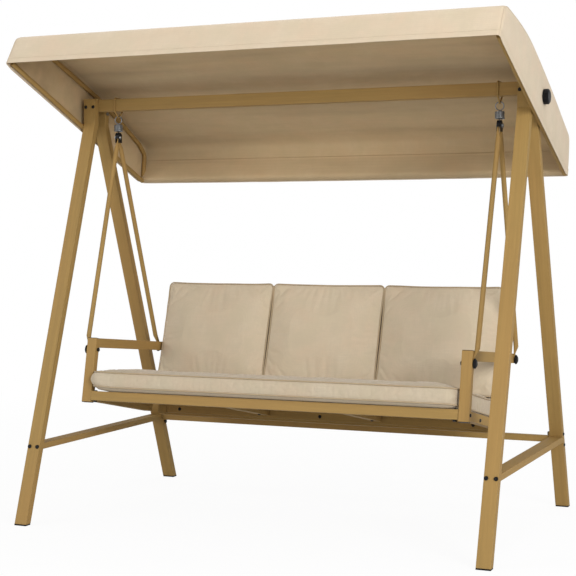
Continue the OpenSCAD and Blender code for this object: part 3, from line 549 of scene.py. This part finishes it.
def roof_lift(x, u):
    """How far the roof stands above its side outline: a low arch between the sides, and soft wrinkles."""
    across = 1 - (x / CANOPY_HALF) ** 4
    on_roof = smoothstep(0.03, 0.16, u) * (1 - smoothstep(0.99, 1.06, u))
    lift = 5.0 * MM * across * on_roof
    drift = noise.noise(Vector((x * 1.1, u * 2.0, 3.0)))
    ridges = (
        2.5 * math.sin(2 * math.pi * (u / 0.145 + 0.35 * drift + 0.10 * x))
        + 1.6 * math.sin(2 * math.pi * (u / 0.078 + 0.8 * drift - 0.16 * x) + 1.0)
    )
    near_front = 0.45 + 0.75 * math.exp(-((u - 0.25) / 0.22) ** 2)
    soft = 3.2 * noise.noise(Vector((x * 2.6, u * 5.5, 7.0)))
    soft += 1.5 * noise.noise(Vector((x * 7, u * 10, 2.0)))
    held = 0.22 + 0.78 * smoothstep(0.0, 0.16, CANOPY_HALF - abs(x))
    return lift + (ridges * near_front + soft) * MM * held * on_roof


def hem_sag(x, i):
    """The rear hem hangs a little low in the middle."""
    rear = smoothstep(0.93, 1.0, i / LAST)
    return -4.0 * MM * (1 - (x / CANOPY_HALF) ** 2) * rear


def valance_wave(x, i):
    """Soft standing folds in the front and rear valances, in and out of their plane."""
    t = i / LAST
    front = 1 - smoothstep(0.0, 0.10, t)
    rear = smoothstep(0.86, 1.0, t)
    fold = noise.noise(Vector((x * 4.2, 1.0 if front > 0 else 9.0, 0)))
    fold += 0.5 * noise.noise(Vector((x * 11.0, 4.0 if front > 0 else 6.0, 0)))
    return fold * (1.5 * front + 2.4 * rear) * MM


def profile_normal(i):
    """The way out of the canopy at point i of its side outline."""
    a, b = PROFILE[max(i - 1, 0)], PROFILE[min(i + 1, LAST)]
    d = (b - a).normalized()
    return Vector((-d.y, d.x))


def roof_columns():
    """Places across the roof, with the rounded sides' drop below the outline: (x, drop)."""
    flat = CANOPY_HALF - EDGE_ROUND
    columns = [(-flat + 2 * flat * k / ROOF_SPANS, 0.0) for k in range(ROOF_SPANS + 1)]
    curve = []
    for k in range(1, 5):
        a = math.pi / 2 * k / 4
        curve.append((flat + EDGE_ROUND * math.sin(a), EDGE_ROUND * (1 - math.cos(a))))
    left = [(-x, drop) for x, drop in reversed(curve)]
    return left + columns + curve


def side_drop(u):
    """How far the side cloth reaches below the front and rear hems, to cover the tube behind it."""
    ends = smoothstep(0.0, 0.05, u) * (1 - smoothstep(1.045, 1.09, u))
    return (5.0 + 4.0 * u) * MM * ends


def side_out(u, v, sign):
    """How far the side cloth stands out between its tubes, and its upright puckers."""
    height = min(max(v / 0.15, 0.0), 1.0)
    belly = math.sin(math.pi * height)
    pucker = noise.noise(Vector((u * 16, v * 3, 11.0 * sign)))
    pucker += 0.6 * noise.noise(Vector((u * 34, v * 5, 5.0 * sign)))
    clear_of_knob = smoothstep(0.03, 0.12, math.hypot(u - KNOB_AT[0], v - KNOB_AT[1]))
    return (1.6 * belly + 1.7 * pucker * belly) * clear_of_knob * MM


def canopy_cloth(material, shaded_underside):
    """The cover: roof, valances and side panels in one skin, its inner face in a darker, yellower copy of
    the cloth, painted shade and bounce light.
    """
    columns = roof_columns()
    verts, faces = [], []
    wide = len(columns)
    for i, p in enumerate(PROFILE):
        out = profile_normal(i)
        for x, drop in columns:
            rise = roof_lift(x, p.x) + valance_wave(x, i) - drop
            q = p + out * rise
            verts.append(Vector((x, q.x, q.y + hem_sag(x, i))))
    for i in range(LAST):
        for k in range(wide - 1):
            a = i * wide + k
            faces.append((a, a + 1, a + wide + 1, a + wide))
    for sign in (-1, 1):
        top = 0 if sign < 0 else wide - 1
        grid = []
        for i, p in enumerate(PROFILE):
            edge = verts[i * wide + top]
            line = [i * wide + top]
            for r in range(1, SIDE_ROWS + 1):
                t = r / SIDE_ROWS
                v = edge.z * (1 - t) + (LOWEST - side_drop(edge.y)) * t
                x = sign * (CANOPY_HALF + side_out(edge.y, v, sign))
                line.append(len(verts))
                verts.append(Vector((x, edge.y, v)))
            grid.append(line)
        for a, b in zip(grid, grid[1:]):
            for r in range(SIDE_ROWS):
                face = (a[r], b[r], b[r + 1], a[r + 1])
                faces.append(face if sign > 0 else face[::-1])
    obj = mesh_object("canopy_cloth", verts, faces)
    bm = bmesh.new()
    bm.from_mesh(obj.data)
    bmesh.ops.remove_doubles(bm, verts=bm.verts, dist=0.3 * MM)
    bmesh.ops.recalc_face_normals(bm, faces=bm.faces)
    bm.to_mesh(obj.data)
    bm.free()
    placed(obj, CANOPY_FRAME)
    thick = obj.modifiers.new("cloth thickness", "SOLIDIFY")
    thick.thickness = CLOTH
    thick.offset = -1
    # The inner face takes the second material, the painted-shade underside copy of the cloth.
    thick.material_offset = 1
    obj.data.materials.append(material)
    obj.data.materials.append(shaded_underside)
    return obj


def hem_loop():
    """The canopy's whole bottom edge as a closed line: (point, outward, upward) in its own frame."""
    loop = []
    flat = CANOPY_HALF - EDGE_ROUND
    for facing, i, slope in ((-1, 0, 0.2), (1, LAST, -0.196)):
        p = PROFILE[i]
        row = []
        for x, drop in roof_columns():
            turn = math.copysign(math.asin(min(max(abs(x) - flat, 0) / EDGE_ROUND, 1.0)), x)
            out = Vector((math.sin(turn), facing * math.cos(turn), 0))
            back = p.x + facing * (valance_wave(x, i) - drop)
            up = Vector((0, slope * math.cos(turn), 1)).normalized()
            row.append((Vector((x, back, p.y + hem_sag(x, i))), out, up))
        loop.append(row)
    first, second = loop
    us = np.linspace(PROFILE[0].x + 2 * EDGE_ROUND, PROFILE[LAST].x - 2 * EDGE_ROUND, 72)
    edge = [Vector((CANOPY_HALF, u, LOWEST - side_drop(u))) for u in us]
    upright = Vector((0, 0, 1))
    right = [(p, Vector((1, 0, 0)), upright) for p in edge]
    left = [(Vector((-p.x, p.y, p.z)), Vector((-1, 0, 0)), upright) for p in reversed(edge)]
    return first + right + second[::-1] + left


def hem_bands(material):
    """The doubled hem round the bottom of the canopy: a thin folded band, a little proud of the cloth."""
    loop = hem_loop()
    verts, faces = [], []
    n = len(HEM_SECTION)
    for p, out, up in loop:
        for o, h in HEM_SECTION:
            verts.append(p + out * (o * MM) + up * h * HEM_HEIGHT)
    for i in range(len(loop)):
        a, b = i * n, ((i + 1) % len(loop)) * n
        for j in range(n):
            k = (j + 1) % n
            faces.append((a + j, a + k, b + k, b + j))
    obj = mesh_object("canopy_hem", verts, faces, smooth=False)
    placed(obj, CANOPY_FRAME)
    obj.data.materials.append(material)
    return obj


def rear_sleeve(material):
    """Cloth sleeve sewn inside the bottom of the back, drawn flat over the lowest cross tube."""
    centre = Vector((1075 * MM, 14 * MM))
    line = [Vector((1072.8 * MM, 96 * MM)), Vector((1073.6 * MM, 90 * MM))]
    for degrees in range(174, 286, 14):
        a = math.radians(degrees)
        line.append(centre + SLEEVE_RADIUS * Vector((math.cos(a), math.sin(a))))
    line.append(Vector((1091.5 * MM, 2.6 * MM)))
    line = evenly(line, 4 * MM)
    half = CANOPY_HALF - 4 * MM
    verts, faces = [], []
    for i, p in enumerate(line):
        t = i / (len(line) - 1)
        low = smoothstep(0.75, 1.0, t)
        for k in range(SLEEVE_SPANS + 1):
            x = -half + 2 * half * k / SLEEVE_SPANS
            ripple = 0.5 * MM * noise.noise(Vector((x * 9, 0, 5))) * math.sin(math.pi * t)
            push = low * valance_wave(x, LAST) - ripple
            verts.append(Vector((x, p.x + push, p.y + low * hem_sag(x, LAST))))
    wide = SLEEVE_SPANS + 1
    for i in range(len(line) - 1):
        for k in range(SLEEVE_SPANS):
            a = i * wide + k
            faces.append((a, a + 1, a + wide + 1, a + wide))
    obj = mesh_object("canopy_sleeve", verts, faces)
    placed(obj, CANOPY_FRAME)
    thick = obj.modifiers.new("cloth thickness", "SOLIDIFY")
    thick.thickness = 0.8 * MM
    thick.offset = 0
    obj.data.materials.append(material)
    return obj


def seam_cords(material):
    """Piped seams where the side panels join the roof, from the front hem over to the rear hem."""
    parts = []
    for sign in (-1, 1):
        line = []
        for i, p in enumerate(PROFILE):
            out = profile_normal(i)
            q = p + out * (-EDGE_ROUND * 0.30 + 0.3 * MM)
            line.append(Vector((sign * (CANOPY_HALF - EDGE_ROUND * 0.30 + 0.6 * MM), q.x, q.y)))
        parts.append(tube_data(line, 1.5 * MM, 8, False))
    obj = mesh_object("canopy_seams", *joined(parts))
    placed(obj, CANOPY_FRAME)
    obj.data.materials.append(material)
    return obj


def stitch(at, way, out, length, width):
    """One stitch: a short rounded thread lying on the cloth."""
    side = way.cross(out).normalized() * width
    lift = out * width * 0.9
    half = way * length / 2
    near, far = at - half * 0.6 + lift, at + half * 0.6 + lift
    verts = [at - half, near + side, near - side, far + side, far - side, at + half]
    faces = [(0, 2, 1), (1, 2, 4, 3), (3, 4, 5), (0, 1, 3, 5), (0, 5, 4, 2)]
    return verts, faces


def stitch_rows(material):
    """Stitching along the top of the hem, all round."""
    loop = hem_loop()
    parts = []
    for (a, out, up), (b, out_b, up_b) in zip(loop, loop[1:] + loop[:1]):
        a = a + up * STITCH_HEIGHT + out * STITCH_PROUD
        b = b + up_b * STITCH_HEIGHT + out_b * STITCH_PROUD
        count = int((b - a).length / STITCH_PITCH + 0.5)
        way = (b - a).normalized()
        for k in range(count):
            at = a.lerp(b, (k + 0.5) / count)
            parts.append(stitch(at, way, out, STITCH_LENGTH, STITCH_WIDTH))
    obj = mesh_object("canopy_stitching", *joined(parts))
    placed(obj, CANOPY_FRAME)
    obj.data.materials.append(material)
    return obj


# ---------- cushions ----------

CUSHION_SPANS = 420
BELLY_SLOPE = 0.028
FILLING_FRAMES = 20
PIPING_OUT = 1.8 * MM
SEAT_HALF = (0.705, 0.277)
SEAT_SEAMS = (14 * MM, 69 * MM)
SEAT_MIDDLE = Vector((0, 0.250, 0))
BACK_HALF = (0.2335, 0.2085)
BACK_SEAMS = (2 * MM, 59 * MM)
BACK_SPACING = 0.4735
BACK_MIDDLE = 0.2915


def rounded_loop(a, b, r, pull, step=0.006):
    """Closed outline of a cushion panel: corners of radius r, with sides that pull in between them."""
    points = []
    for quarter, (sx, sy) in enumerate(((1, 1), (-1, 1), (-1, -1), (1, -1))):
        for k in range(7):
            t = math.radians(90 * quarter + 15 * k)
            points.append(Vector((sx * (a - r) + r * math.cos(t), sy * (b - r) + r * math.sin(t))))
    line = evenly(points + [points[0]], step)[:-1]
    out = []
    for p in line:
        fx, fy = p.x / a, p.y / b
        sx = pull * max(0.0, 1 - fy * fy) * smoothstep(0.5, 1.0, abs(fx))
        sy = pull * max(0.0, 1 - fx * fx) * smoothstep(0.5, 1.0, abs(fy))
        out.append(Vector((p.x - math.copysign(sx, fx), p.y - math.copysign(sy, fy))))
    return out


class Cushion:
    """A boxed cushion in its own frame: X and Y across the panels, Z through it, crown towards +Z.

    half: half its width and depth. low, high: heights of its two seams. crown, belly: how far the two
    panels bulge past the seams. slope: how far in from the seam the crown is full. corner: its corners'
    radius. pull: how far the sides pull in between corners. seed: its own place in the noise.
    """

    def __init__(self, name, half, low, high, crown, slope, belly, corner, pull, seed):
        self.name, self.half, self.low, self.high = name, half, low, high
        self.crown, self.slope, self.belly = crown, slope, belly
        self.corner, self.pull, self.seed = corner, pull, seed

    def loop(self, z, inset=0.0, out=0.0):
        """The panel's outline at a height, drawn in by inset or let out by out."""
        a, b = self.half
        r = max(self.corner - inset, 4 * MM)
        line = rounded_loop(a - inset + out, b - inset + out, r + out, self.pull)
        return [Vector((p.x, p.y, z)) for p in line]

    def block(self):
        """The closed starting shape, ring by ring from the back panel to the crowned front panel."""
        count = CUSHION_SPANS
        rings = []
        reach = min(self.half) * 0.92

        def ring(z, inset, out=0.0):
            loop = self.loop(z, inset, out)
            total = sum((q - p).length for p, q in zip(loop, loop[1:] + loop[:1]))
            return evenly(loop + [loop[0]], total / count)[:count]

        for inset in (reach, reach * 0.5, 0.05, 0.028, 0.016, 0.009, 0.004):
            t = min(inset / BELLY_SLOPE, 1.0)
            rings.append(ring(self.low - self.belly * (1 - (1 - t) ** 2.4), inset))
        for k in range(7):
            t = k / 6
            rings.append(ring(self.low + (self.high - self.low) * t, 0, 3.0 * MM * math.sin(math.pi * t)))
        for inset in (0.003, 0.008, 0.016, 0.028, 0.045, 0.07, 0.10, 0.14, reach * 0.8, reach):
            if inset <= reach:
                t = min(inset / self.slope, 1.0)
                rings.append(ring(self.high + self.crown * (1 - (1 - t) ** 2.6), inset))
        verts = [p for r in rings for p in r]
        faces = []
        for i in range(len(rings) - 1):
            for j in range(count):
                k = (j + 1) % count
                faces.append((i * count + j, i * count + k, (i + 1) * count + k, (i + 1) * count + j))
        faces.append(tuple(reversed(range(count))))
        faces.append(tuple((len(rings) - 1) * count + j for j in range(count)))
        return mesh_object(self.name, verts, faces)

    def is_held(self, co, near):
        """True for points on the seams and on the back panel, which the filling doesn't move."""
        if co.z < self.low - 1.5 * MM:
            return True
        a, b = self.half
        if min(abs(co.z - self.low), abs(co.z - self.high)) > near:
            return False
        past = Vector((abs(co.x) - (a - self.corner), abs(co.y) - (b - self.corner)))
        if past.x > 0 and past.y > 0:
            return past.length > self.corner - near - self.pull
        return max(abs(co.x) - a, abs(co.y) - b) > -(near + self.pull)


def stuffed(cushion, voxel, pressure, slack, cap):
    """Fills a cushion: pressure puffs its slightly slack cover out between the seams, cap at most."""
    obj = cushion.block()
    bpy.context.view_layer.objects.active = obj
    obj.select_set(True)
    obj.data.remesh_voxel_size = voxel
    bpy.ops.object.voxel_remesh()
    obj.select_set(False)
    for v in obj.data.vertices:
        n = noise.noise(v.co * 9 + Vector((cushion.seed, 0, 0)))
        v.co.z += 0.8 * MM * n * (v.co.z > cushion.high)
    start = [v.co.copy() for v in obj.data.vertices]
    held = [v.index for v in obj.data.vertices if cushion.is_held(v.co, voxel * 0.9)]
    group = obj.vertex_groups.new(name="seams")
    group.add(held, 1.0, "REPLACE")
    cloth = obj.modifiers.new("filling", "CLOTH")
    settings = cloth.settings
    settings.quality = 4
    settings.mass = 0.25
    settings.tension_stiffness = settings.compression_stiffness = 18
    settings.shear_stiffness = 8
    settings.bending_stiffness = 0.6
    settings.use_pressure = True
    settings.uniform_pressure_force = pressure
    settings.vertex_group_mass = "seams"
    settings.shrink_min = -slack
    settings.effector_weights.gravity = 0
    cloth.collision_settings.use_collision = False
    for f in range(1, FILLING_FRAMES + 1):
        bpy.context.scene.frame_set(f)
    seen = obj.evaluated_get(bpy.context.evaluated_depsgraph_get())
    moved = [v.co.copy() for v in seen.data.vertices]
    obj.modifiers.remove(cloth)
    bpy.context.scene.frame_set(1)
    obj.vertex_groups.clear()
    for v, a, b in zip(obj.data.vertices, start, moved):
        step = b - a
        v.co = a + step * min(1.0, cap / max(step.length, 1e-9))
    for p in obj.data.polygons:
        p.use_smooth = True
    return obj


def piping(cushion, name, heights, radius):
    """Piped cord along a cushion's seams."""
    parts = [tube_data(cushion.loop(z, 0, PIPING_OUT), radius, 8, True) for z in heights]
    return mesh_object(name, *joined(parts))


def bent(obj, warp):
    """Moves every vertex to where warp says."""
    for v in obj.data.vertices:
        v.co = warp(v.co)


def seat_warp(co):
    """The seat cushion's round ends: they bulge between the seams, most of all at the front."""
    ahead = smoothstep(-0.246, -0.264, co.y)
    middle = math.sin(math.pi * min(max((co.z - 6 * MM) / (73 * MM), 0.0), 1.0))
    past = (13.0 if co.x < 0 else 3.0) * ahead + (5.0 + 12.0 * ahead) * middle - 6.0 - 7.0 * ahead
    x = co.x + math.copysign(past * MM * smoothstep(0.63, 0.70, abs(co.x)), co.x)
    round_front = 11.0 * MM * smoothstep(0.65, SEAT_HALF[0], abs(co.x)) * (1 - middle) * (co.y < -0.2)
    lift = 4.0 * MM * smoothstep(-0.60, -0.70, co.x) * smoothstep(0.0, -0.25, co.y)
    soft = 2.0 * MM * noise.noise(Vector((co.x * 3.1, co.y * 4, 0))) * (co.z > 0.03)
    rear = 6.0 * MM * smoothstep(0.12, 0.26, co.y) * (co.z > 0.03)
    return Vector((x, co.y + round_front, co.z + lift + soft + rear))


def back_warp(co, seed):
    """Faint creases that run in from the seams of a back cushion."""
    edge = max(abs(co.x) / BACK_HALF[0], abs(co.y) / BACK_HALF[1])
    crease = noise.noise(Vector((co.x * 7 + seed, co.y * 26, seed)))
    crease *= smoothstep(0.55, 0.95, edge)
    soft = noise.noise(Vector((co.x * 5 + seed, co.y * 6, seed + 4)))
    soft *= 1 - smoothstep(0.8, 1.0, edge)
    height = (1.5 * crease + 2.2 * soft) * MM * (co.z > 0.03)
    wave = 1.3 * MM * noise.noise(Vector((co.x * 9, co.y * 9, seed)))
    return Vector((co.x + wave * 0.5, co.y + wave, co.z + height))


def make_seat_cushion(material, cord_shaded_material):
    shape = Cushion(
        "seat_cushion_cover", SEAT_HALF, *SEAT_SEAMS, crown=15 * MM, slope=0.10, belly=12 * MM,
        corner=34 * MM, pull=2 * MM, seed=1.0
    )
    cover = stuffed(shape, voxel=6.5 * MM, pressure=3.0, slack=0.012, cap=14 * MM)
    cords = piping(shape, "seat_cushion_piping", SEAT_SEAMS, 2.8 * MM)
    for obj, look in ((cover, material), (cords, cord_shaded_material)):
        bent(obj, seat_warp)
        placed(obj, SEAT_FRAME @ Matrix.Translation(SEAT_MIDDLE))
        obj.data.materials.append(look)
    finish_cushion(cover, cords, "seat_cushion")


def make_back_cushion(index, name, material, cord_shaded_material):
    """Back cushion number 0, 1 or 2 from the left; its front looks along -Y of the back frame."""
    shape = Cushion(
        "back_cushion_cover_" + name, BACK_HALF, *BACK_SEAMS, crown=14 * MM, slope=0.13, belly=1.0 * MM,
        corner=16 * MM, pull=3.5 * MM, seed=10.0 * index + 3.0
    )
    cover = stuffed(shape, voxel=6 * MM, pressure=3.2, slack=0.014, cap=14 * MM)
    cords = piping(shape, "back_cushion_piping_" + name, BACK_SEAMS, 2.6 * MM)
    face_front = Matrix.Rotation(math.radians(90), 4, "X")
    middle = ((index - 1) * BACK_SPACING, -1.2 * MM, BACK_MIDDLE)
    put = BACK_FRAME @ Matrix.Translation(middle) @ face_front
    for obj, look in ((cover, material), (cords, cord_shaded_material)):
        bent(obj, lambda co: back_warp(co, shape.seed))
        placed(obj, put)
        obj.data.materials.append(look)
    finish_cushion(cover, cords, "back_cushion_" + name)


def finish_cushion(cover, cords, node):
    """The calls that both kinds of cushion share."""
    smooth = cover.modifiers.new("soft surface", "SUBSURF")
    smooth.levels = smooth.render_levels = 1
    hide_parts(node)
    for obj in (cover, cords):
        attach(obj, "seat")


# ---------- stage, light and camera ----------

STAGE_RINGS = (2.0, 5.0, 30.0)
WORLD_LIGHT = 0.55
KEY_LIGHT = 345
FILL_LIGHT = 84
TOP_LIGHT = 60
CAMERA_AT = (2.0732, -4.9363, 1.0683)
CAMERA_LENS = 88.33
CAMERA_DOWN = math.radians(2.145)
CAMERA_TURN = math.radians(23.326)


def make_stage():
    """A round floor, a hair below the feet."""
    n = 64
    verts = [Vector((0, 0, 0))]
    faces = []
    for ring, radius in enumerate(STAGE_RINGS):
        for k in range(n):
            a = 2 * math.pi * k / n
            verts.append(Vector((radius * math.cos(a), radius * math.sin(a), 0)))
        for k in range(n):
            j = (k + 1) % n
            if ring == 0:
                faces.append((0, 1 + k, 1 + j))
            else:
                inner, outer = 1 + (ring - 1) * n, 1 + ring * n
                faces.append((inner + k, outer + k, outer + j, inner + j))
    below = Vector((0, 0, 0.4 * MM))
    floor = mesh_object("floor", [v - below for v in verts], faces, smooth=False)
    floor.data.materials.append(floor_look())


def area_light(name, at, target, size, power):
    data = bpy.data.lights.new(name, "AREA")
    data.shape = "DISK"
    data.size = size
    data.energy = power
    obj = bpy.data.objects.new(name, data)
    obj.location = at
    obj.rotation_euler = (Vector(target) - Vector(at)).to_track_quat("-Z", "Y").to_euler()
    bpy.context.scene.collection.objects.link(obj)


def make_light():
    world = bpy.data.worlds.new("studio")
    bpy.context.scene.world = world
    world.use_nodes = True
    tree = world.node_tree
    background = tree.nodes["Background"]
    background.inputs["Color"].default_value = (1.0, 1.0, 1.0, 1.0)
    path = tree.nodes.new("ShaderNodeLightPath")
    strength = tree.nodes.new("ShaderNodeMapRange")
    strength.inputs["To Min"].default_value = WORLD_LIGHT
    strength.inputs["To Max"].default_value = 1.0
    tree.links.new(path.outputs["Is Camera Ray"], strength.inputs["Value"])
    tree.links.new(strength.outputs[0], background.inputs["Strength"])
    area_light("key", (5.4, -4.7, 2.9), (0, 0, 0.9), 3.0, KEY_LIGHT)
    area_light("fill", (-3.6, -4.6, 2.4), (0, 0, 0.9), 3.0, FILL_LIGHT)
    area_light("top", (0.3, 0.5, 5.0), (0, 0, 0.5), 3.5, TOP_LIGHT)


def make_camera():
    data = bpy.data.cameras.new("camera")
    data.sensor_width = 36.0
    data.lens = CAMERA_LENS
    obj = bpy.data.objects.new("camera", data)
    obj.location = CAMERA_AT
    obj.rotation_euler = (math.radians(90) - CAMERA_DOWN, 0, CAMERA_TURN)
    bpy.context.scene.collection.objects.link(obj)
    bpy.context.scene.camera = obj


# ---------- assembly ----------


def build():
    """Dresses the frame, then makes the springs, the canopy and the cushions, in this order."""
    zinc = dress_frame()
    for side in ("left", "right"):
        coil_spring(side, zinc)
    roof_cloth = woven_cloth("canopy_fabric", CANOPY_CLOTH, CANOPY_FRAME, 1.6 * MM, 0.05, 0.25)
    # Painted shade and bounce light: the canopy's inner face and the rear sleeve wear a darker, yellower
    # copy of the cloth, with painted shade streaks across it.
    shaded_underside = woven_cloth("canopy_underside_shaded", CANOPY_UNDERSIDE_SHADED, CANOPY_FRAME, 1.6 * MM, 0.05, 0.1, 0.5)
    trim_cloth = woven_cloth("canopy_trim", shade(CANOPY_CLOTH, 0.92), CANOPY_FRAME, 1.2 * MM, 0.05, 0.2)
    cloth = canopy_cloth(roof_cloth, shaded_underside)
    trims = [
        hem_bands(roof_cloth), rear_sleeve(shaded_underside), seam_cords(trim_cloth), stitch_rows(trim_cloth)
    ]
    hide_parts("canopy_cover")
    for obj in [cloth] + trims:
        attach(obj, "canopy")
    # Painted shade: the seat cushion wears the cushion cloth darkened to 0.88, a shaded copy of the back
    # cushions' cloth.
    seat_cloth_shaded = woven_cloth("seat_fabric_shaded", shade(CUSHION_CLOTH, 0.88), SEAT_FRAME, 1.7 * MM, 0.07, 0.25)
    back_cloth = woven_cloth("back_fabric", CUSHION_CLOTH, BACK_FRAME, 1.7 * MM, 0.07, 0.25)
    # Painted shade: the piping cords wear a darker copy of the cushion cloth.
    cord_cloth_shaded = woven_cloth("piping_fabric_shaded", PIPING_CLOTH_SHADED, SEAT_FRAME, 1.1 * MM, 0.06, 0.2)
    make_seat_cushion(seat_cloth_shaded, cord_cloth_shaded)
    for index, name in enumerate(("left", "middle", "right")):
        make_back_cushion(index, name, back_cloth, cord_cloth_shaded)


make_stage()
make_light()
make_camera()
bpy.context.scene.view_settings.view_transform = "Standard"
bpy.context.scene.view_settings.look = "None"
build()
